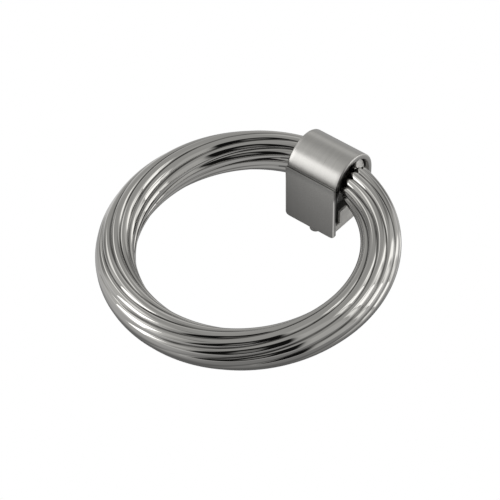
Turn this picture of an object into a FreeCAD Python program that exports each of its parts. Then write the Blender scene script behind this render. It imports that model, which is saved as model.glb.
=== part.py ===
import FreeCAD, Part
import math
import os

import Sketcher

# Ring pull handle: a fluted ring on a journal that turns inside an arched mount.
# Lengths are in millimetres, angles in degrees. The mounting surface is z = 0,
# +X runs along the journal and the ring hangs towards -Y.

V = FreeCAD.Vector

doc = FreeCAD.newDocument("ring_pull")
sheet = doc.addObject("Spreadsheet::Sheet", "sizes")

SIZES = (
    ("ring_radius", 26.0, "centre line of the ring"),
    ("tube_radius", 4.0, "crests of the ring's lobes"),
    ("groove_depth", 0.35, "from the lobes' crests down to the grooves"),
    ("lobe_count", 12, "lobes round the ring's section"),
    ("lobe_turns", 0.75, "turns of the section in one turn of the ring"),
    ("lobe_phase", 0.0, "turn of the section opposite its own start"),
    ("rest_tilt", 5.8, "slope of the hanging ring"),
    ("journal_radius", 2.95, "journal of the ring"),
    ("journal_half", 6.2, "half length of the journal"),
    ("shoulder_radius", 1.3, "hollow between journal and shoulder"),
    ("journal_back", 0.5, "journal's axis in front of the mount's middle"),
    ("journal_rise", 0.3, "journal's axis above the arch's centre"),
    ("bearing_clearance", 0.05, "radial, between journal and bearing"),
    ("cover_length", 12.5, "mount along the journal"),
    ("cover_width", 12.4, "mount across the journal"),
    ("arch_radius", 5.95, "outside of the arch"),
    ("arch_height", 11.3, "centre of the arch"),
    ("arch_wall", 1.05, "arch and far wall"),
    ("near_wall", 0.8, "near wall"),
    ("near_rise", 1.6, "top of the near wall above the arch's centre"),
    ("near_bevel", 0.15, "bevel along the near wall's top"),
    ("notch_slope", 0.87, "fall of the notch behind the near wall's top"),
    ("haunch_drop", 3.0, "start of the thickening inside the near wall, below the arch's centre"),
    ("rim_bevel", 0.25, "bevel of the arch's rims"),
    ("rim_round", 0.35, "rounding of the near wall's sides"),
    ("foot_round", 0.7, "rounding of the walls' lower corners"),
    ("rib_length", 6.4, "bearing rib and saddle along the journal"),
    ("rib_far", 2.0, "far side of the bearing rib"),
    ("split_gap", 0.1, "between the bearing's two halves"),
    ("end_recess", 1.0, "insert's ends inside the mount's rims"),
    ("side_gap", 0.05, "between insert and near wall"),
    ("plate_height", 1.5, "insert's plate"),
    ("block_width", 5.6, "insert's block"),
    ("block_height", 4.5, "top of the insert's block"),
    ("arm_gap", 0.15, "between journal and the insert's arm"),
    ("arm_rise", 3.2, "top of the insert's arm above the arch's centre"),
    ("hook_lean", 0.4, "hook's overhang at the top of the arm"),
    ("hook_rise", 1.0, "start of the hook above the journal's axis"),
    ("hook_height", 0.8, "height over which the hook leans out"),
    ("crescent_gap", 0.3, "between the arm's top and the arch"),
    ("saddle_width", 4.0, "saddle in front of the journal's axis"),
    ("thread_radius", 1.65, "core of the threaded hole"),
    ("thread_depth", 6.5, "threaded hole"),
    ("peg_radius", 1.25, "locating pegs"),
    ("peg_length", 2.2, "locating pegs below the mounting surface"),
    ("peg_spread", 4.0, "pegs' axes from the mount's middle"),
    ("peg_bevel", 0.3, "bevel of the pegs' ends"),
)


class Size:
    """A number and the spreadsheet formula that gives it."""

    def __init__(self, number, text):
        self.number = number
        self.text = text

    def joined(self, sign, number, other):
        return Size(number, "(%s %s %s)" % (self.text, sign, other.text))

    def __add__(self, other):
        return self.joined("+", self.number + other.number, other)

    def __sub__(self, other):
        return self.joined("-", self.number - other.number, other)

    def __mul__(self, other):
        return self.joined("*", self.number * other.number, other)

    def __truediv__(self, other):
        return self.joined("/", self.number / other.number, other)

    def __neg__(self):
        return Size(-self.number, "(0 - %s)" % self.text)


def plain(number):
    """A fixed number, such as the 2 of a half."""
    return Size(float(number), repr(float(number)))


def root(size):
    return Size(math.sqrt(size.number), "sqrt(%s)" % size.text)


def leg(long, short):
    """The other leg of a right triangle, from its long side and one leg."""
    return root(long * long - short * short)


size = {}
for row, (alias, number, note) in enumerate(SIZES, 1):
    sheet.set("A%d" % row, alias)
    sheet.set("B%d" % row, str(number))
    sheet.set("C%d" % row, note)
    sheet.setAlias("B%d" % row, alias)
doc.recompute()
for alias, number, note in SIZES:
    size[alias] = Size(float(sheet.get(alias)), "sizes." + alias)

zero = plain(0)
two = plain(2)


def plane_of(body, role):
    return next(f for f in body.Origin.OriginFeatures if f.Role == role)


def bind_length(sketch, kind, places, length, name):
    """One driving dimension of a sketch, bound to its formula."""
    index = sketch.addConstraint(Sketcher.Constraint(kind, *places, length.number))
    sketch.renameConstraint(index, name)
    sketch.setExpression("Constraints." + name, length.text)


def fix_point(sketch, geometry, place, u, v, name):
    """Hold a point at (u, v) from the sketch's origin."""
    if v is zero:
        sketch.addConstraint(Sketcher.Constraint("PointOnObject", geometry, place, -1))
    else:
        bind_length(sketch, "DistanceY", (-1, 1, geometry, place), v, name + "_v")
    if u is zero:
        sketch.addConstraint(Sketcher.Constraint("PointOnObject", geometry, place, -2))
    else:
        bind_length(sketch, "DistanceX", (-1, 1, geometry, place), u, name + "_u")


def new_sketch(body, name, role):
    sketch = body.newObject("Sketcher::SketchObject", name)
    sketch.AttachmentSupport = [(plane_of(body, role), "")]
    sketch.MapMode = "FlatFace"
    return sketch


def curve_between(start, end, radius, left):
    """A straight edge, or an arc that bends left or right on its way from start to end."""
    if radius is None:
        return Part.LineSegment(start, end), (1, 2)
    middle = (start + end) * 0.5
    run = end - start
    rise = math.sqrt(max(radius.number ** 2 - (run.Length / 2) ** 2, 0.0))
    side = V(-run.y, run.x, 0)
    side.normalize()
    centre = middle + side * (rise if left else -rise)
    first, last = (start, end) if left else (end, start)
    from_angle = math.atan2(first.y - centre.y, first.x - centre.x)
    to_angle = math.atan2(last.y - centre.y, last.x - centre.x)
    circle = Part.Circle(centre, V(0, 0, 1), radius.number)
    return Part.ArcOfCircle(circle, from_angle, to_angle), ((1, 2) if left else (2, 1))


def add_loop(sketch, name, corners):
    """A closed outline through corners (u, v) or (u, v, radius, left), an arc to the next corner."""
    count = len(corners)
    ends = []
    for k, corner in enumerate(corners):
        after = corners[(k + 1) % count]
        radius, left = corner[2:] if len(corner) > 2 else (None, True)
        start = V(corner[0].number, corner[1].number, 0)
        end = V(after[0].number, after[1].number, 0)
        curve, places = curve_between(start, end, radius, left)
        ends.append((sketch.addGeometry(curve, False), places, radius))
    for k, (geometry, places, radius) in enumerate(ends):
        after, after_places, after_radius = ends[(k + 1) % count]
        sketch.addConstraint(Sketcher.Constraint("Coincident", geometry, places[1], after, after_places[0]))
        fix_point(sketch, geometry, places[0], corners[k][0], corners[k][1], "%s%d" % (name, k))
        if radius is not None:
            bind_length(sketch, "Radius", (geometry,), radius, "%s%d_r" % (name, k))


def add_circle(sketch, name, u, v, radius):
    geometry = sketch.addGeometry(Part.Circle(V(u.number, v.number, 0), V(0, 0, 1), radius.number), False)
    fix_point(sketch, geometry, 3, u, v, name)
    bind_length(sketch, "Radius", (geometry,), radius, name + "_r")


def pad(body, sketch, name, length, symmetric=True, reverse=False):
    feature = body.newObject("PartDesign::Pad", name)
    feature.Profile = sketch
    feature.setExpression("Length", length.text)
    feature.Midplane = symmetric
    feature.Reversed = reverse
    doc.recompute()
    body.Tip = feature
    return feature


def pocket(body, sketch, name, length, symmetric=True, reverse=False):
    """A cut that must take something off the solid."""
    before = body.Shape.Volume
    feature = body.newObject("PartDesign::Pocket", name)
    feature.Profile = sketch
    feature.setExpression("Length", length.text)
    feature.Midplane = symmetric
    feature.Reversed = reverse
    body.Tip = feature
    doc.recompute()
    assert body.Shape.Volume < before - 1e-6, name
    return feature


def dress(body, kind, name, prop, amount, wanted):
    """A fillet or chamfer on the edges of the body's tip that wanted accepts."""
    base = body.Tip
    names = ["Edge%d" % k for k, edge in enumerate(base.Shape.Edges, 1) if wanted(edge)]
    feature = body.newObject(kind, name)
    feature.Base = (base, names)
    feature.setExpression(prop, amount.text)
    body.Tip = feature
    doc.recompute()
    return feature


# The mount's cover: a solid arch and a near wall, hollowed from end to end, with a bearing rib left inside.

near = -size["cover_width"] / two
far = size["cover_width"] / two
half_length = size["cover_length"] / two
arch_middle = far - size["arch_radius"]
arch_inner = size["arch_radius"] - size["arch_wall"]
arch_top = size["arch_height"] + size["arch_radius"]
bearing = size["journal_radius"] + size["bearing_clearance"]
axis_u = -size["journal_back"]
axis_v = size["arch_height"] + size["journal_rise"]
near_top = size["arch_height"] + size["near_rise"]
arm_top = size["arch_height"] + size["arm_rise"]
hook_low = axis_v + size["hook_rise"]

cover = doc.addObject("PartDesign::Body", "mount_cover")
cover.Label = "mount_cover"

arch_near = arch_middle - size["arch_radius"]
form = new_sketch(cover, "arch_outline", "YZ_Plane")
add_loop(form, "arch", (
    (far, zero),
    (far, size["arch_height"], size["arch_radius"], True),
    (arch_middle, arch_top, size["arch_radius"], True),
    (arch_near, size["arch_height"]),
    (arch_near, zero),
))
pad(cover, form, "arch", size["cover_length"])


def on_arch_rim(edge):
    middle = edge.valueAt((edge.FirstParameter + edge.LastParameter) / 2)
    at_end = all(abs(abs(v.X) - half_length.number) < 1e-4 for v in edge.Vertexes)
    return at_end and middle.z > 1e-3


dress(cover, "PartDesign::Chamfer", "arch_rims", "Size", size["rim_bevel"], on_arch_rim)

round_edge = size["rim_round"]
bevel_u = near + size["near_bevel"]
wall_deep = near + size["near_wall"] + size["near_wall"] / two
notch_v = near_top - (wall_deep - bevel_u) * size["notch_slope"]
wall = doc.addObject("PartDesign::Body", "near_wall")
wall_plan = new_sketch(wall, "near_wall_plan", "XY_Plane")
add_loop(wall_plan, "plan", (
    (-half_length, wall_deep),
    (-half_length, near + round_edge, round_edge, True),
    (-half_length + round_edge, near),
    (half_length - round_edge, near, round_edge, True),
    (half_length, near + round_edge),
    (half_length, wall_deep),
))
pad(wall, wall_plan, "near_wall_block", near_top, symmetric=False)

above = near_top + plain(1)
notch = new_sketch(wall, "notch_outline", "YZ_Plane")
add_loop(notch, "notch", (
    (near, near_top - size["near_bevel"]),
    (bevel_u, near_top),
    (wall_deep, notch_v),
    (wall_deep + plain(1), notch_v),
    (wall_deep + plain(1), above),
    (near - plain(1), above),
    (near - plain(1), near_top - size["near_bevel"]),
))
pocket(wall, notch, "notch", size["cover_length"] + two)

join = cover.newObject("PartDesign::Boolean", "near_wall_join")
join.setObjects([wall])
join.Type = "Fuse"
cover.Tip = join
doc.recompute()

cavity_near = near + size["near_wall"]
cavity_far = far - size["arch_wall"]
below = -plain(1)
hollow = new_sketch(cover, "hollow_outline", "YZ_Plane")
add_loop(hollow, "hollow", (
    (cavity_near, below),
    (cavity_far, below),
    (cavity_far, size["arch_height"], arch_inner, True),
    (arch_middle, size["arch_height"] + arch_inner, arch_inner, True),
    (arch_middle - arch_inner, size["arch_height"]),
    (cavity_near, size["arch_height"] - size["haunch_drop"]),
))
pocket(cover, hollow, "hollow", size["cover_length"] + two)

foot = size["foot_round"]
corners = new_sketch(cover, "foot_corners", "XZ_Plane")
for name, side in (("right", plain(1)), ("left", plain(-1))):
    edge_u = side * half_length
    add_loop(corners, name, (
        (side * (half_length - foot), below),
        (side * (half_length + plain(1)), below),
        (side * (half_length + plain(1)), foot),
        (edge_u, foot, foot, side.number < 0),
        (side * (half_length - foot), zero),
    ))
pocket(cover, corners, "foot_rounding", size["cover_width"] + two)

bond = size["arch_radius"] - size["arch_wall"] / two
rib_low = axis_v + size["split_gap"] / two
rib_left = arch_middle - leg(bond, rib_low - size["arch_height"])
rib_right_high = size["arch_height"] + leg(bond, size["rib_far"] - arch_middle)
rib_right_low = axis_v + leg(bearing, size["rib_far"] - axis_u)
rib_seat = axis_u - leg(bearing, rib_low - axis_v)
rib = new_sketch(cover, "rib_outline", "YZ_Plane")
add_loop(rib, "rib", (
    (rib_seat, rib_low, bearing, False),
    (size["rib_far"], rib_right_low),
    (size["rib_far"], rib_right_high, bond, True),
    (rib_left, rib_low),
))
pad(cover, rib, "bearing_rib", size["rib_length"])

# The base insert: plate, block and hooked arm in one outline, a saddle under the journal, pegs and hole.

insert = doc.addObject("PartDesign::Body", "base_insert")
insert.Label = "base_insert"

insert_length = size["cover_length"] - two * size["end_recess"]
arm_in = axis_u + size["journal_radius"] + size["arm_gap"]
hook_radius = arch_inner - size["crescent_gap"]
hook_tip = arch_middle + leg(hook_radius, size["arm_rise"])
block_half = size["block_width"] / two
section = new_sketch(insert, "section_outline", "YZ_Plane")
add_loop(section, "section", (
    (cavity_near + size["side_gap"], zero),
    (cavity_far, zero),
    (cavity_far, size["arch_height"] - size["crescent_gap"]),
    (arch_middle + hook_radius, size["arch_height"], hook_radius, True),
    (hook_tip, arm_top),
    (arm_in - size["hook_lean"], arm_top),
    (arm_in - size["hook_lean"], hook_low + size["hook_height"]),
    (arm_in, hook_low),
    (arm_in, size["block_height"]),
    (-block_half, size["block_height"]),
    (-block_half, size["plate_height"]),
    (cavity_near + size["side_gap"], size["plate_height"]),
))
pad(insert, section, "section", insert_length)

saddle_high = axis_v - size["split_gap"] / two
seat_reach = leg(bearing, size["split_gap"] / two)
saddle_low = size["plate_height"] / two
saddle = new_sketch(insert, "saddle_outline", "YZ_Plane")
add_loop(saddle, "saddle", (
    (axis_u - size["saddle_width"], saddle_low),
    (cavity_far - size["arch_wall"], saddle_low),
    (cavity_far - size["arch_wall"], saddle_high),
    (axis_u + seat_reach, saddle_high, bearing, False),
    (axis_u - seat_reach, saddle_high),
    (axis_u - size["saddle_width"], saddle_high),
))
pad(insert, saddle, "saddle", size["rib_length"])

pegs = new_sketch(insert, "peg_outline", "XY_Plane")
add_circle(pegs, "near_peg", zero, -size["peg_spread"], size["peg_radius"])
add_circle(pegs, "far_peg", zero, size["peg_spread"], size["peg_radius"])
pad(insert, pegs, "pegs", size["peg_length"], symmetric=False, reverse=True)


def on_peg_end(edge):
    return all(abs(v.Z + size["peg_length"].number) < 1e-4 for v in edge.Vertexes)


dress(insert, "PartDesign::Chamfer", "peg_ends", "Size", size["peg_bevel"], on_peg_end)

hole = new_sketch(insert, "hole_outline", "XY_Plane")
add_circle(hole, "hole", zero, zero, size["thread_radius"])
pocket(insert, hole, "threaded_hole", size["thread_depth"], symmetric=False, reverse=True)

# The ring, about its own journal: the journal's axis is X through the origin and the ring's centre is at -Y.

reach = leg(size["ring_radius"], size["journal_half"])
ring_r = size["ring_radius"].number
crest_r = size["tube_radius"].number
valley_r = crest_r - size["groove_depth"].number
lobes = int(size["lobe_count"].number)
pitch = 360.0 / lobes


def lobe_section(flats):
    """Corners across one lobe, on the arc through its grooves and its crest, as (radius, angle)."""
    half = math.radians(pitch / 2)
    along = valley_r * math.cos(half)
    across = valley_r * math.sin(half)
    rise = crest_r - along
    radius = (across ** 2 + rise ** 2) / (2 * rise)
    centre = crest_r - radius
    opening = math.atan2(across, along - centre)
    corners = []
    for k in range(flats + 1):
        turn = opening * (2.0 * k / flats - 1.0)
        u = centre + radius * math.cos(turn)
        v = radius * math.sin(turn)
        corners.append((math.hypot(u, v), math.degrees(math.atan2(v, u))))
    return corners


def ring_point(way, radius, angle):
    """A point of the ring: way round it from +Y, clockwise seen from above, angle from its outside over its top."""
    turn = math.radians(angle + size["lobe_phase"].number - size["lobe_turns"].number * way)
    out = V(math.sin(math.radians(way)), math.cos(math.radians(way)), 0)
    return out * (ring_r + radius * math.cos(turn)) + V(0, -reach.number, radius * math.sin(turn))


def fluted_ring(first, last, spans, flats):
    """The twisted lobes between two stations: one strip for each flat, closed by a flat cap at each end."""
    stations = [first + (last - first) * k / spans for k in range(spans + 1)]
    across = lobe_section(flats)
    rails = []
    for k in range(lobes):
        for radius, angle in across[:-1]:
            rail = Part.BSplineCurve()
            points = [ring_point(way, radius, angle + k * pitch) for way in stations]
            rail.interpolate(Points=points, Parameters=stations)
            rails.append(rail)
    faces = []
    for one, other in zip(rails, rails[1:] + rails[:1]):
        strip = Part.BSplineSurface()
        poles = [one.getPoles(), other.getPoles()]
        strip.buildFromPolesMultsKnots(
            poles, [2, 2], one.getMultiplicities(), [0, 1], one.getKnots(), False, False, 1, 3)
        faces.append(strip.toShape())
    for end in (0, -1):
        rim = [rail.value(stations[end]) for rail in rails]
        faces.append(Part.Face(Part.makePolygon(rim + rim[:1])))
    shell = Part.makeShell(faces)
    shell.sewShape(1e-4)
    return Part.Solid(shell)


core_half = size["journal_half"].number - 0.4
cap = math.degrees(math.asin(core_half / (ring_r + crest_r)))
rope = doc.addObject("Part::Feature", "fluted_ring")
rope.Shape = fluted_ring(cap, 360.0 - cap, 26, 3)

core = doc.addObject("Part::Cylinder", "journal_core")
core_length = (size["journal_half"] - plain(0.2)) * two
core.setExpression("Radius", (size["journal_radius"] + plain(0.15)).text)
core.setExpression("Height", core_length.text)
core.Placement.Rotation = FreeCAD.Rotation(V(0, 1, 0), 90)
core.setExpression("Placement.Base.x", (-core_length / two).text)

blank = doc.addObject("Part::Fuse", "ring_blank")
blank.Base = rope
blank.Tool = core

relief = doc.addObject("PartDesign::Body", "relief")
relief_out = size["tube_radius"] + two
shoulder_u = size["journal_half"] + size["shoulder_radius"]
shoulder_v = size["journal_radius"] + size["shoulder_radius"]
relief_outline = new_sketch(relief, "relief_outline", "XY_Plane")
add_loop(relief_outline, "relief", (
    (-size["journal_half"], size["journal_radius"]),
    (size["journal_half"], size["journal_radius"], size["shoulder_radius"], True),
    (shoulder_u, shoulder_v),
    (shoulder_u, relief_out),
    (-shoulder_u, relief_out),
    (-shoulder_u, shoulder_v, size["shoulder_radius"], True),
))
turned = relief.newObject("PartDesign::Revolution", "turned_relief")
turned.Profile = relief_outline
turned.ReferenceAxis = (relief_outline, ["H_Axis"])
turned.Angle = 360.0
relief.Tip = turned
doc.recompute()

ring = doc.addObject("Part::Cut", "pull_ring")
ring.Label = "pull_ring"
ring.Base = blank
ring.Tool = relief
doc.recompute()

cover.Placement = FreeCAD.Placement()
insert.Placement = FreeCAD.Placement()
ring.Placement = FreeCAD.Placement(
    V(0, axis_u.number, axis_v.number),
    FreeCAD.Rotation(V(1, 0, 0), size["rest_tilt"].number))
doc.recompute()

for item in doc.Objects:
    assert "Invalid" not in item.State and "Error" not in item.State, (item.Name, item.State)

os.makedirs("parts", exist_ok=True)
for piece in (cover, insert, ring):
    shape = piece.Shape
    assert not shape.isNull() and shape.isValid() and len(shape.Solids) == 1, piece.Label
    shape.exportStep("parts/%s.step" % piece.Label)
    box = shape.BoundBox
    print(piece.Label, round(shape.Volume, 2), [round(v, 3) for v in (
        box.XMin, box.XMax, box.YMin, box.YMax, box.ZMin, box.ZMax)])
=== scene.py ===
import bmesh
import bpy
import math
import numpy as np
from mathutils import Matrix, Vector


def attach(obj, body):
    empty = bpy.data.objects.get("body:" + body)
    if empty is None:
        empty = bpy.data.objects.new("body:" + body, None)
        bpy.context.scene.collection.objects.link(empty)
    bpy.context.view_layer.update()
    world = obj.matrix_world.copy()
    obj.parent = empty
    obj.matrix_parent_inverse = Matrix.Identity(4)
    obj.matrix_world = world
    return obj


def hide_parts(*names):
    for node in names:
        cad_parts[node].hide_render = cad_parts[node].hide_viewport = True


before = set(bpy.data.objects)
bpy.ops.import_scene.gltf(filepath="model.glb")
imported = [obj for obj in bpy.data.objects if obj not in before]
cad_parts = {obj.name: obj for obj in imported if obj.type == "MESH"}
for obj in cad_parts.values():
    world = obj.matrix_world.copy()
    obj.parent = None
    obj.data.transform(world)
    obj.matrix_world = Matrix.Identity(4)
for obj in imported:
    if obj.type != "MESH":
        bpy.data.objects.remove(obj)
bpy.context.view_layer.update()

# Ring pull handle: a polished fluted ring on its journal, a brushed arched mount and the casting inside it.
# Shapes are worked out in millimetres, and materials, camera and lamps are in metres. +X runs along the
# journal, the ring hangs towards -Y and z = 0 is the mounting surface.

MM = 0.001

# The ring and its journal, sized as the source's solids. Only the grooves are deeper and the lobes round.
RING_R = 26.0
CREST_R = 4.0
GROOVE = 0.42
LOBE_POWER = 2.6
LOBES = 12
LOBE_TURNS = 0.75
TILT = math.radians(5.8)
JOURNAL_R = 2.95
JOURNAL_HALF = 6.2
AXIS_Y, AXIS_Z = -0.5, 11.6
REACH = math.sqrt(RING_R ** 2 - JOURNAL_HALF ** 2)

# The cover: outer faces of its walls, half its length, the arch, and the near wall's top and its notch.
NEAR, FAR = -6.2, 6.2
NEAR_WALL, FAR_WALL = 0.8, 1.05
HALF = 6.25
ARCH_Y, ARCH_Z, ARCH_OUT, ARCH_IN = 0.25, 11.3, 5.95, 4.9
WALL_TOP = 12.9
NOTCH = 12.6
FOOT = 0.7
RIM = 0.3
LIP = 0.1

# From radians to degrees, and the warmth of all the metals' greys.
DEGREES = 180 / math.pi
WARM = 0.018


def mesh_object(name, points, faces, smooth=True):
    """A mesh object at the origin from points in millimetres and rows of corner numbers."""
    mesh = bpy.data.meshes.new(name)
    mesh.from_pydata((np.asarray(points) * MM).tolist(), [], [list(f) for f in faces])
    mesh.update()
    mesh.polygons.foreach_set("use_smooth", np.full(len(mesh.polygons), smooth))
    piece = bpy.data.objects.new(name, mesh)
    bpy.context.scene.collection.objects.link(piece)
    return piece


def grid_faces(rows, columns, wrap_rows=False, wrap_columns=False, shift=0):
    """Quads of a grid of rows by columns. A wrapped grid of rows joins its last row to the first,
    whose columns are counted on by shift."""
    r = np.arange(rows if wrap_rows else rows - 1)
    c = np.arange(columns if wrap_columns else columns - 1)
    r, c = np.meshgrid(r, c, indexing="ij")
    after = (r + 1) % rows
    move = np.where(r + 1 == rows, shift, 0)
    c1 = (c + 1) % columns
    corner = [r * columns + c, r * columns + c1,
              after * columns + (c1 + move) % columns, after * columns + (c + move) % columns]
    return np.stack([k.ravel() for k in corner], axis=1)


def lobe_place(turn):
    """Where a direction lies across its lobe: 0 on the crest, 1 or -1 in the grooves beside it."""
    half = math.pi / LOBES
    return ((turn + half) % (2 * half) - half) / half


def unworn(way, turn):
    """1 on the ring's upper and inner side, falling to 0 on its outer and lower side. The edge lies at 62
    degrees of section angle on the ring's -X side and at 2 degrees on its +X side. It falls to 0.2 on the
    inner side too, from the mount to the -X side."""
    edge = 32 + 30 * np.cos(np.radians(100 + way))
    turn = (np.degrees(turn) + 180) % 360 - 180
    upper = np.clip((turn - edge + 25) / 30, 0, 1) + np.clip((-120 - turn) / 40, 0, 1)
    inner = np.clip((np.abs(turn) - 135) / 25, 0, 1)
    return upper * (1 - 0.8 * inner * np.clip(2.2 * np.cos(np.radians(way + 38)) - 1.2, 0, 1))


def ring_surface():
    """A torus of fluted section that turns 0.75 times on its way round, and a little faster next to the
    journal's +X end. Across a lobe the surface falls away from the crest's circle with the 2.6th power of
    the way to the groove. Where the ring is worn the grooves have about a third of their depth, and a
    tenth at the front left. Near the mount each lobe ends as a rounded finger: its height over the journal
    grows with the square root of 1 - (1 - u)^2, where u counts from the finger's tip, and the tips of the
    grooves lie further out than those of the crests. Also returns how far down its groove each point lies,
    raised to 1 at the fingers' tips by the mount and 0 on the journal, from which the material paints shade."""
    per_lobe = 16
    columns = LOBES * per_lobe
    ends = math.degrees(math.asin(JOURNAL_HALF / RING_R))
    fine_from, fine_to = ends - 1.5, ends + 6
    near = np.linspace(0, fine_from, 6, endpoint=False)
    fine = np.linspace(fine_from, fine_to, 52, endpoint=False)
    rest = np.linspace(fine_to, 180, 180, endpoint=False)
    half_way = np.concatenate([near, fine, rest, [180.0]])
    way = np.concatenate([half_way, 360 - half_way[-2:0:-1]])
    angle = np.arange(columns) * 360.0 / columns
    way, angle = np.meshgrid(way, angle, indexing="ij")
    twist, twist_start, twist_end = 24.0, 12, 95
    fading = (1 - np.clip(way / twist_end, 0, 1)) ** 1.3
    extra = twist * fading * np.clip(way / twist_start, 0, 1)
    turn = np.radians(angle - LOBE_TURNS * way + extra)
    across = np.abs(lobe_place(np.radians(angle)))
    front_left = np.clip(np.cos(np.radians(way - 207)), 0, 1)
    shallow = 0.35 - 0.26 * front_left ** 2
    relief = shallow + (1 - shallow) * unworn(way, turn)
    radius = CREST_R - GROOVE * relief * across ** LOBE_POWER
    out = RING_R + radius * np.cos(turn)
    x = out * np.sin(np.radians(way))
    y = out * np.cos(np.radians(way)) - REACH
    z = radius * np.sin(turn)
    side = np.abs(x)
    from_axis = np.hypot(y, z)
    tip = JOURNAL_HALF + np.where(x > 0, 0.30 + 0.75 * across ** 2, 0.05 + 0.35 * across ** 2)
    length = np.where(x > 0, 1.1, 0.45)
    u = np.clip((side - tip) / length, 0, 1)
    by_mount = (np.cos(np.radians(way)) > 0.5) & (side < JOURNAL_HALF + 2.4)
    kept = JOURNAL_R + np.maximum(from_axis - JOURNAL_R, 0) * np.sqrt(1 - (1 - u) ** 2)
    kept = np.where(by_mount, kept, from_axis)
    y, z = y * kept / from_axis, z * kept / from_axis
    groove = across ** LOBE_POWER
    # By the mount the fingers' tips are raised to 1 and the journal set to 0: the material paints shade from
    # this.
    groove = np.where(by_mount, np.maximum(groove * u, 1 - u), groove)
    groove = np.where(by_mount & (side < JOURNAL_HALF), 0, groove)
    groove = groove * np.where(by_mount, 1, relief)
    tilt_y = y * math.cos(TILT) - z * math.sin(TILT) + AXIS_Y
    tilt_z = y * math.sin(TILT) + z * math.cos(TILT) + AXIS_Z
    points = np.stack([x, tilt_y, tilt_z], axis=-1).reshape(-1, 3)
    shift = -int(LOBE_TURNS * columns) % columns
    faces = grid_faces(way.shape[0], columns, wrap_rows=True, wrap_columns=True, shift=shift)
    return points, faces, groove.ravel()


def arc(centre, radius, start, stop, count):
    """Points of an arc from one angle to another, in degrees."""
    t = np.radians(np.linspace(start, stop, count))
    return np.stack([centre[0] + radius * np.cos(t), centre[1] + radius * np.sin(t)], axis=1)


def run(*corners, count=8):
    """Points along straight runs between corners, with the last corner left out."""
    parts = []
    for a, b in zip(corners, corners[1:]):
        k = np.linspace(0, 1, count, endpoint=False)[:, None]
        parts.append(np.array(a) * (1 - k) + np.array(b) * k)
    return np.concatenate(parts)


def cover_surface():
    """The cover's wall: outside and inside lines of the arch, and round each pair of their points a loop that
    goes along the outside, over a rounded rim, across the end and back along the inside. Also returns how
    much painted shadow each point gets, from the near wall's top over the notch to the arch's start."""
    notch_rise = NOTCH - ARCH_Z
    notch_angle = math.degrees(math.atan2(notch_rise, -math.sqrt(ARCH_OUT ** 2 - notch_rise ** 2)))
    # The near wall's inside leans over towards the arch above the bend, and its top has a small bevel.
    bend = 8.3
    bevel = 0.15
    outside = np.concatenate([
        run((NEAR, 0.0), (NEAR, FOOT), count=8),
        run((NEAR, FOOT), (NEAR, bend), count=10),
        run((NEAR, bend), (NEAR, WALL_TOP - bevel), count=10),
        arc((NEAR + bevel, WALL_TOP - bevel), bevel, 180, 75, 7)[:-1],
        run((NEAR + 0.19, WALL_TOP - 0.01), (-5.62, NOTCH + 0.02), count=5),
        arc((ARCH_Y, ARCH_Z), ARCH_OUT, notch_angle, 0, 72)[:-1],
        run((FAR, ARCH_Z), (FAR, FOOT), count=12),
        run((FAR, FOOT), (FAR, 0.0), count=8),
        [(FAR, 0.0)],
    ])
    inside = np.concatenate([
        run((NEAR + NEAR_WALL, 0.0), (NEAR + NEAR_WALL, FOOT), count=8),
        run((NEAR + NEAR_WALL, FOOT), (NEAR + NEAR_WALL, bend), count=10),
        run((NEAR + NEAR_WALL, bend), (ARCH_Y - ARCH_IN, ARCH_Z), count=10),
        arc((ARCH_Y, ARCH_Z), ARCH_IN, 180, 174, 12)[:-1],
        arc((ARCH_Y, ARCH_Z), ARCH_IN, 174, 0, 72)[:-1],
        run((FAR - FAR_WALL, ARCH_Z), (FAR - FAR_WALL, FOOT), count=12),
        run((FAR - FAR_WALL, FOOT), (FAR - FAR_WALL, 0.0), count=8),
        [(FAR - FAR_WALL, 0.0)],
    ])
    count = len(outside)
    height = outside[:, 1]
    rounded = FOOT - np.sqrt(np.clip(FOOT ** 2 - (FOOT - height) ** 2, 0, None))
    half = HALF - np.where(height < FOOT, rounded, 0)
    run_in = inside - outside
    thick = np.linalg.norm(run_in, axis=1)
    inward = run_in / thick[:, None]
    t = np.radians(np.linspace(0, 90, 7))
    along = [np.linspace(0, 1, 9)[:-1, None] * (half - RIM)[None, :]]
    depth = [np.zeros((8, count))]
    along.append((half - RIM)[None, :] + RIM * np.sin(t)[:, None])
    depth.append(np.repeat((RIM * (1 - np.cos(t)))[:, None], count, axis=1))
    t = np.radians(np.linspace(0, 90, 4))
    along.append((half - LIP)[None, :] + LIP * np.cos(t)[:, None])
    depth.append(thick[None, :] - LIP + LIP * np.sin(t)[:, None])
    along.append(np.linspace(1, 0, 9)[1:, None] * (half - LIP)[None, :])
    depth.append(np.repeat(thick[None, :], 8, axis=0))
    along = np.concatenate(along)
    depth = np.concatenate(depth)
    along = np.concatenate([along, -along[-2:0:-1]])
    depth = np.concatenate([depth, depth[-2:0:-1]])
    loops = along.shape[0]
    y = outside[None, :, 0] + inward[None, :, 0] * depth
    z = outside[None, :, 1] + inward[None, :, 1] * depth
    k = np.arange(count)
    # Painted shadow in the seam between the near wall's top and the arch, darker towards -X.
    seam_points = [25, 27, 29, 33, 34, 39, 41]
    seam_shade = np.interp(k, seam_points, [0, 0.2, 0.45, 0.6, 1, 1, 0])
    seam_shade = seam_shade[None, :] * (depth < 0.2) * (0.80 - 0.03 * along)
    points = np.stack([along, y, z], axis=-1).transpose(1, 0, 2).reshape(-1, 3)
    faces = grid_faces(count, loops, wrap_columns=True)
    faces = [list(f) for f in faces]
    faces.append(list(range(loops))[::-1])
    faces.append(list(range((count - 1) * loops, count * loops)))
    return points, faces, seam_shade.T.ravel()


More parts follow.
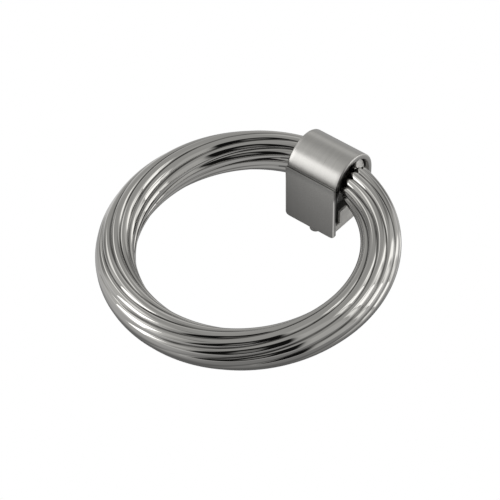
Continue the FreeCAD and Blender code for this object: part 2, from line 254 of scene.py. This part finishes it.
def block(profile, half):
    """A straight prism along X: a closed line of (y, z) points from -half to half, with flat ends."""
    profile = np.asarray(profile, float)
    n = len(profile)
    left = np.column_stack([np.full(n, -half), profile])
    right = np.column_stack([np.full(n, half), profile])
    points = np.concatenate([left, right])
    k = np.arange(n)
    faces = [[a, (a + 1) % n, n + (a + 1) % n, n + a] for a in k]
    faces.append(list(k[::-1]))
    faces.append(list(k + n))
    return points, faces


class Link:
    """A socket of a node tree with arithmetic: an expression on values adds its Math nodes."""

    def __init__(self, tree, socket):
        self.tree = tree
        self.socket = socket

    def math(self, operation, *others):
        """A Math node on this value and the others."""
        values = dict(enumerate((self,) + others))
        return self.tree.node("ShaderNodeMath", {"operation": operation}, values)

    def __add__(self, other):
        return self.math("ADD", other)

    def __radd__(self, other):
        return self.math("ADD", other)

    def __sub__(self, other):
        return self.math("SUBTRACT", other)

    def __rsub__(self, other):
        return self.tree.node("ShaderNodeMath", {"operation": "SUBTRACT"}, {0: other, 1: self})

    def __mul__(self, other):
        return self.math("MULTIPLY", other)

    def __rmul__(self, other):
        return self.math("MULTIPLY", other)

    def clamp(self):
        """The value held between 0 and 1."""
        return self.tree.node("ShaderNodeClamp", {}, {"Value": self})

    def step(self, low, high):
        """0 below low, 1 above high, smooth between."""
        return self.tree.node("ShaderNodeMapRange", {"interpolation_type": "SMOOTHSTEP"},
                              {"Value": self, "From Min": low, "From Max": high})


class Shading:
    """The nodes of one material or of the world."""

    def __init__(self, owner):
        owner.use_nodes = True
        self.tree = owner.node_tree
        self.tree.nodes.clear()

    def node(self, kind, settings=None, inputs=None, output=0):
        """Any node: its settings first, then the values or links of its sockets."""
        made = self.tree.nodes.new(kind)
        for key, value in (settings or {}).items():
            setattr(made, key, value)
        for key, value in (inputs or {}).items():
            if isinstance(value, Link):
                self.tree.links.new(value.socket, made.inputs[key])
            else:
                made.inputs[key].default_value = value
        return Link(self, made.outputs[output])

    def mix(self, factor, a, b):
        """A colour between a and b."""
        return self.node("ShaderNodeMix", {"data_type": "RGBA"}, {0: factor, 6: a, 7: b}, output=2)

    def noise(self, vector, scale, detail=3.0):
        """Cloudy values round 0.5."""
        return self.node("ShaderNodeTexNoise", {}, {"Vector": vector, "Scale": scale, "Detail": detail})

    def stretched(self, vector, scale):
        """Coordinates multiplied axis by axis: a pattern on them is longest along the smallest factor."""
        return self.node("ShaderNodeMapping", {}, {"Vector": vector, "Scale": scale})

    def bump(self, height, strength, distance):
        """The normal of a fine relief, whose height is measured by distance, in metres."""
        return self.node("ShaderNodeBump", {}, {"Height": height, "Strength": strength, "Distance": distance})

    def finish(self, shader, world=False):
        """Joins the last shader to the output."""
        kind = "ShaderNodeOutputWorld" if world else "ShaderNodeOutputMaterial"
        end = self.tree.nodes.new(kind)
        self.tree.links.new(shader.socket, end.inputs["Surface"])


def grey(level, warm=0.0):
    """A grey, with a little more red and less blue where warm is above 0."""
    return (level * (1 + warm), level, level * (1 - 2 * warm), 1.0)


def polished_nickel():
    """The ring: mirror-bright plate, a little duller down in the grooves, with painted shade there and at
    the fingers' tips by the mount, both more so in patches.
    """
    material = bpy.data.materials.new("polished_nickel")
    s = Shading(material)
    place = s.node("ShaderNodeTexCoord", {}, {}, output=3)
    groove = s.node("ShaderNodeAttribute", {"attribute_name": "groove"}, {}, output=2)
    cloud = s.noise(place, 160.0)
    wear = s.noise(place, 900.0, detail=4.0)
    patch = s.noise(place, 130.0, detail=2.0)
    # Painted shade down in the grooves and at the fingers' tips by the mount, stronger in patches.
    groove_shade = (groove * groove).step(0.22, 0.66) * (0.05 + 1.7 * patch).clamp()
    colour = s.mix(groove_shade, grey(0.44, WARM), grey(0.07, WARM))
    colour = s.mix((cloud - 0.5).clamp() * 0.4, colour, grey(0.38, WARM))
    rough = 0.02 + 0.02 * cloud + 0.05 * groove_shade
    bump = s.bump(wear, 0.02, 0.00002)
    shader = s.node("ShaderNodeBsdfPrincipled", {}, {
        "Base Color": colour, "Metallic": 1.0, "Roughness": rough, "Normal": bump})
    s.finish(shader)
    return material


def brushed_nickel():
    """The cover: fine brush lines round the arch, a matte near wall with a sandy grain, painted lighter
    towards its top and +X end, painted highlights on its end faces with painted shade just inside them, and
    painted shadow in the seam behind that wall."""
    material = bpy.data.materials.new("brushed_nickel")
    s = Shading(material)
    place = s.node("ShaderNodeTexCoord", {}, {}, output=3)
    split = s.node("ShaderNodeSeparateXYZ", {}, {"Vector": place})
    x, y, z = (Link(s, split.socket.node.outputs[k]) for k in "XYZ")
    seam_shade = s.node("ShaderNodeAttribute", {"attribute_name": "seam_shade"}, {}, output=2)
    lines = s.noise(s.stretched(place, (7000.0, 220.0, 220.0)), 1.0, detail=3.0)
    streaks = s.noise(s.stretched(place, (1500.0, 90.0, 90.0)), 1.0, detail=2.0)
    grain = s.noise(place, 4200.0, detail=3.0)
    cloud = s.noise(place, 260.0, detail=2.0)
    wall = (1.0 - y.step(-0.00615, -0.00605)) * (1.0 - z.step(0.01285, 0.01295))
    tone = (0.7 * lines + 0.3 * streaks).step(0.25, 0.75)
    arch = s.mix(tone, grey(0.395, WARM), grey(0.445, WARM))
    # Painted light on the near wall: its grey rises from dark at the bottom and the -X end to light at the
    # top and the +X end.
    upward = (z * 80.0).math("POWER", 1.6)
    upward = (0.72 * upward + 0.28 * (x * 80.0 + 0.5) + 0.12 * (cloud - 0.5)).clamp()
    flat = s.mix(upward, grey(0.21, WARM), grey(0.44, WARM))
    flat = s.mix(grain.step(0.38, 0.62) * 0.36, flat, grey(0.20, WARM))
    colour = s.mix(wall, arch, flat)
    # Painted highlight on the near wall's end faces below the arch, and painted shade on their inner part.
    end = x.math("ABSOLUTE").step(0.00593, 0.00608) * (1.0 - y.step(-0.0053, -0.0051))
    inner = y.step(-0.00590, -0.00575) * z.step(0.0036, 0.0048)
    colour = s.mix(end * (1.0 - inner) * (1.0 - z.step(0.0095, 0.0110)), colour, grey(0.98, WARM))
    colour = s.mix(end * inner, colour, grey(0.05, WARM))
    # Painted shadow in the seam behind the near wall.
    colour = s.mix(seam_shade, colour, grey(0.03, WARM))
    rough = 0.27 + 0.08 * tone + 0.16 * wall + 0.2 * seam_shade
    height = (0.7 * lines + 0.3 * streaks) * (1.0 - wall) + 2.0 * grain * wall
    bump = s.bump(height, 0.16, 0.00002)
    shader = s.node("ShaderNodeBsdfPrincipled", {}, {
        "Base Color": colour, "Metallic": 1.0, "Roughness": rough, "Normal": bump})
    s.finish(shader)
    return material


def cast_metal():
    """The insert: satin casting with a sand grain, with painted light on its hook and painted shade in the
    saddle.
    """
    material = bpy.data.materials.new("satin_casting")
    s = Shading(material)
    place = s.node("ShaderNodeTexCoord", {}, {}, output=3)
    split = s.node("ShaderNodeSeparateXYZ", {}, {"Vector": place})
    x, z = (Link(s, split.socket.node.outputs[k]) for k in "XZ")
    sand = s.noise(place, 2600.0, detail=4.0)
    cloud = s.noise(place, 420.0)
    saddle = (1.0 - x.math("ABSOLUTE").step(0.0046, 0.0050)) * z.step(0.0002, 0.0010)
    colour = s.mix(cloud.step(0.35, 0.7), grey(0.66, WARM), grey(0.80, WARM))
    # Painted light: the hook above 11 mm is nearly white.
    colour = s.mix(z.step(0.0110, 0.0120), colour, grey(0.98, WARM))
    colour = s.mix(1.0 - z.step(-0.0004, 0.0), colour, grey(0.30, WARM))
    # Painted shade in the saddle inside the mouth.
    colour = s.mix(saddle, colour, grey(0.10, WARM))
    rough = 0.38 + 0.12 * sand - 0.22 * saddle
    bump = s.bump(sand, 0.25, 0.00004)
    shader = s.node("ShaderNodeBsdfPrincipled", {}, {
        "Base Color": colour, "Metallic": 0.55, "Roughness": rough, "Normal": bump})
    s.finish(shader)
    return material


def studio_world():
    """White to the camera. To the metal it is a grey room, dark round the camera, with soft panels of light:
    broad ones to the left and the right, narrow upright ones on the right, and small high ones."""
    world = bpy.data.worlds.new("studio")
    bpy.context.scene.world = world
    s = Shading(world)
    way = s.node("ShaderNodeTexCoord", {}, {}, output=0)
    split = s.node("ShaderNodeSeparateXYZ", {}, {"Vector": way})
    x, y, z = (Link(s, split.socket.node.outputs[k]) for k in "XYZ")
    azimuth = x.math("ARCTAN2", y) * DEGREES
    rise = z.math("ARCSINE") * DEGREES

    def panel(middle, half, low, high, soft):
        """1 in a field of the room, 0 outside: half as wide each side of its middle, from low to high."""
        off = (azimuth - middle).math("WRAP", 180.0, -180.0).math("ABSOLUTE")
        inside = 1.0 - off.step(half - soft, half + soft)
        return inside * rise.step(low - soft, low + soft) * (1.0 - rise.step(high - soft, high + soft))

    clutter = s.noise(way, 2.6, detail=2.0)
    level = (0.50 + 0.08 * rise.step(-35, 45)) * (0.88 + 0.24 * clutter)
    # Each light: its strength, then its field as panel takes it.
    lights = [
        (0.30, -132, 30, -14, 58, 9),
        (0.45, -150, 7, 0, 28, 4),
        (0.80, -98, 20, 46, 57, 3),
        (1.00, -84, 12, 33, 48, 3),
        (0.26, 31, 33, -22, 64, 5),
        (0.95, 69, 4, 4, 54, 2),
        (0.17, 91, 16, -10, 68, 5),
        (1.30, 46, 11, 50, 64, 3),
        (1.20, 20, 6, -2, 52, 2.5),
        (0.60, 32, 7, 20, 52, 3),
        (0.80, 38, 6, -8, 24, 3),
        (0.40, -30, 12, 18, 38, 5),
        (0.15, -62, 13, -8, 22, 4),
    ]
    for strength, *field in lights:
        level = level + strength * panel(*field)
    level = level * (1.0 - 0.45 * panel(-7, 8, -12, 44, 4)) * (1.0 - 0.40 * panel(-95, 10, -8, 30, 5))
    dark = panel(147, 35, -19, 73, 4) * (1.0 - 0.9 * panel(171, 12, -30, 3, 5))
    level = level * (1.0 - 0.98 * dark) * (1.0 - 0.5 * panel(-150, 13, 58, 70, 5))
    level = level + 0.28 * panel(146, 10, 18, 46, 5)
    room = s.node("ShaderNodeCombineColor", {}, {0: level, 1: level, 2: level * 0.985})
    rays = s.node("ShaderNodeLightPath")
    camera = Link(s, rays.socket.node.outputs["Is Camera Ray"])
    seen = s.mix(camera, room, grey(1.0))
    s.finish(s.node("ShaderNodeBackground", {}, {"Color": seen, "Strength": 1.0}), world=True)


def pale_floor():
    """The floor under the handle: pale, with the handle's shadow, and white where only the camera sees it.
    What the metal mirrors of it is a glow of painted light, grey, lighter to the left, the right and the
    front and inside the ring, with a painted shadow darkening it right under the ring."""
    material = bpy.data.materials.new("pale_floor")
    s = Shading(material)
    rays = s.node("ShaderNodeLightPath")
    outputs = rays.socket.node.outputs
    camera = Link(s, outputs["Is Camera Ray"])
    glossy = Link(s, outputs["Is Glossy Ray"])
    through = Link(s, outputs["Is Transmission Ray"])
    place = s.node("ShaderNodeTexCoord", {}, {}, output=3)
    split = s.node("ShaderNodeSeparateXYZ", {}, {"Vector": place})
    x, y = (Link(s, split.socket.node.outputs[k]) for k in "XY")
    ring_middle = -0.0256
    away = (x * x + (y - ring_middle).math("POWER", 2.0)).math("SQRT")
    azimuth = x.math("ARCTAN2", y - ring_middle) * DEGREES
    # Painted light: the glow is brighter to the left, the right, the front, far out, inside the ring and in a
    # patch there.
    left = (1.0 - (azimuth + 74.0).math("ABSOLUTE").step(14, 22)) * away.step(0.036, 0.050)
    right = (1.0 - (azimuth - 40.0).math("ABSOLUTE").step(35, 60)) * away.step(0.036, 0.060)
    front = (-1.0 * x).step(0.0, 0.05) * (1.0 - y.step(-0.020, 0.010))
    fore = (azimuth + 150.0).math("WRAP", 180.0, -180.0).math("ABSOLUTE")
    fore = (1.0 - fore.step(20, 58)) * away.step(0.033, 0.042)
    lit = 0.36 + 0.12 * front + 0.30 * fore + 0.26 * away.step(0.060, 0.110) + 0.36 * left + 0.35 * right
    lit = lit + 0.26 * (1.0 - away.step(0.014, 0.022))
    inner = ((x + 0.017).math("POWER", 2.0) + (y + 0.030).math("POWER", 2.0)).math("SQRT")
    lit = lit + 0.30 * (1.0 - inner.step(0.003, 0.010))
    # Painted shadow: the glow is halved in a band right under the ring.
    under = (away - 0.0275).math("ABSOLUTE")
    lit = lit * (0.50 + 0.50 * under.step(0.002, 0.010))
    sheen = s.node("ShaderNodeCombineColor", {}, {0: lit, 1: lit, 2: lit})
    paint = s.node("ShaderNodeBsdfDiffuse", {}, {"Color": grey(0.8)})
    white = s.node("ShaderNodeEmission", {}, {"Color": grey(1.0), "Strength": 1.0})
    pale = s.node("ShaderNodeEmission", {}, {"Color": sheen, "Strength": 1.0})
    shown = s.node("ShaderNodeMixShader", {}, {0: camera, 1: pale, 2: white})
    s.finish(s.node("ShaderNodeMixShader", {}, {0: (camera + glossy + through).clamp(), 1: paint, 2: shown}))
    return material


def softbox(name, round_way, rise, distance, width, height, level):
    """A rectangular lamp aimed at the handle, of the given brightness as the metal mirrors it."""
    lamp = bpy.data.lights.new(name, "AREA")
    lamp.shape = "RECTANGLE"
    lamp.size = width
    lamp.size_y = height
    lamp.energy = level * math.pi * width * height
    thing = bpy.data.objects.new(name, lamp)
    a, e = math.radians(round_way), math.radians(rise)
    out = Vector((math.sin(a) * math.cos(e), math.cos(a) * math.cos(e), math.sin(e)))
    middle = Vector((0.0, -0.025, 0.01))
    thing.location = middle + out * distance
    thing.rotation_euler = out.to_track_quat("Z", "Y").to_euler()
    thing.visible_camera = False
    bpy.context.scene.collection.objects.link(thing)


def photo_camera():
    """The photograph's view: 44 degrees above the surface, from the right and in front."""
    rise, round_way, roll = math.radians(43.93), math.radians(-50.07), math.radians(-0.83)
    flat = math.cos(rise)
    back = Vector((flat * math.cos(round_way), flat * math.sin(round_way), math.sin(rise)))
    level = Vector((-math.sin(round_way), math.cos(round_way), 0))
    upward = back.cross(level)
    right = math.cos(roll) * level + math.sin(roll) * upward
    up = -math.sin(roll) * level + math.cos(roll) * upward
    aim = Vector((0, -0.025, 0.010)) + right * 0.000042 - up * 0.001827
    data = bpy.data.cameras.new("photo_camera")
    data.sensor_width = 36.0
    focal_pixels, photo_pixels = 2304.0, 500.0
    data.lens = focal_pixels / photo_pixels * data.sensor_width
    data.clip_start = 0.01
    data.clip_end = 20.0
    camera = bpy.data.objects.new("photo_camera", data)
    turn = Matrix((right, up, back)).transposed()
    camera.matrix_world = Matrix.Translation(aim + back * 0.45) @ turn.to_4x4()
    bpy.context.scene.collection.objects.link(camera)
    bpy.context.scene.camera = camera


photo_camera()
studio_world()
softbox("left_softbox", -136, 18, 1.0, 0.46, 0.80, 2.1)
softbox("right_softbox", 54, 26, 1.0, 0.30, 0.66, 1.4)

nickel = polished_nickel()
brushed = brushed_nickel()
casting = cast_metal()

points, faces, groove = ring_surface()
ring = mesh_object("fluted_ring", points, faces)
attribute = ring.data.attributes.new("groove", "FLOAT", "POINT")
attribute.data.foreach_set("value", groove.astype(np.float32))
ring.data.materials.append(nickel)
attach(ring, "ring")
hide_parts("pull_ring")

points, faces, seam_shade = cover_surface()
# The bearing rib: the upper half of the bearing, whose top is sunk into the arch's wall.
bond = 5.4
rib_profile = np.concatenate([
    arc((AXIS_Y, AXIS_Z), 3.0, 179, 33.6, 30),
    arc((ARCH_Y, ARCH_Z), bond, 71, 176, 30),
])
rib_points, rib_faces = block(rib_profile, 3.2)
rib_faces = [[k + len(points) for k in f] for f in rib_faces]
cover = mesh_object("arched_cover", np.concatenate([points, rib_points]), list(faces) + rib_faces)
attribute = cover.data.attributes.new("seam_shade", "FLOAT", "POINT")
attribute.data.foreach_set("value", np.concatenate([seam_shade, np.zeros(len(rib_points))]).astype(np.float32))
cover.data.materials.append(brushed)
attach(cover, "mount")
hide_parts("mount_cover")

insert = bpy.data.objects.new("cast_insert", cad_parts["base_insert"].data.copy())
bpy.context.scene.collection.objects.link(insert)
shape = bmesh.new()
shape.from_mesh(insert.data)
bmesh.ops.remove_doubles(shape, verts=shape.verts, dist=0.000002)
bmesh.ops.dissolve_limit(shape, angle_limit=math.radians(1.0), verts=shape.verts, edges=shape.edges)
sharp = [e for e in shape.edges if len(e.link_faces) == 2 and e.calc_face_angle(0) > math.radians(35)]
fine_bevel = 0.14 * MM
bmesh.ops.bevel(shape, geom=sharp, offset=fine_bevel, segments=2, profile=0.5, affect="EDGES",
                clamp_overlap=True)
shape.to_mesh(insert.data)
shape.free()
insert.data.shade_smooth()
insert.data.set_sharp_from_angle(angle=math.radians(38))
for face in insert.data.polygons:
    face.use_smooth = len(face.vertices) < 5
insert.data.materials.clear()
insert.data.materials.append(casting)
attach(insert, "mount")
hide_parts("base_insert")

floor = mesh_object("floor", [(-900, -900, -2.3), (900, -900, -2.3), (900, 900, -2.3), (-900, 900, -2.3)],
                    [(0, 1, 2, 3)], smooth=False)
floor.data.materials.append(pale_floor())

bpy.context.scene.view_settings.view_transform = "Standard"
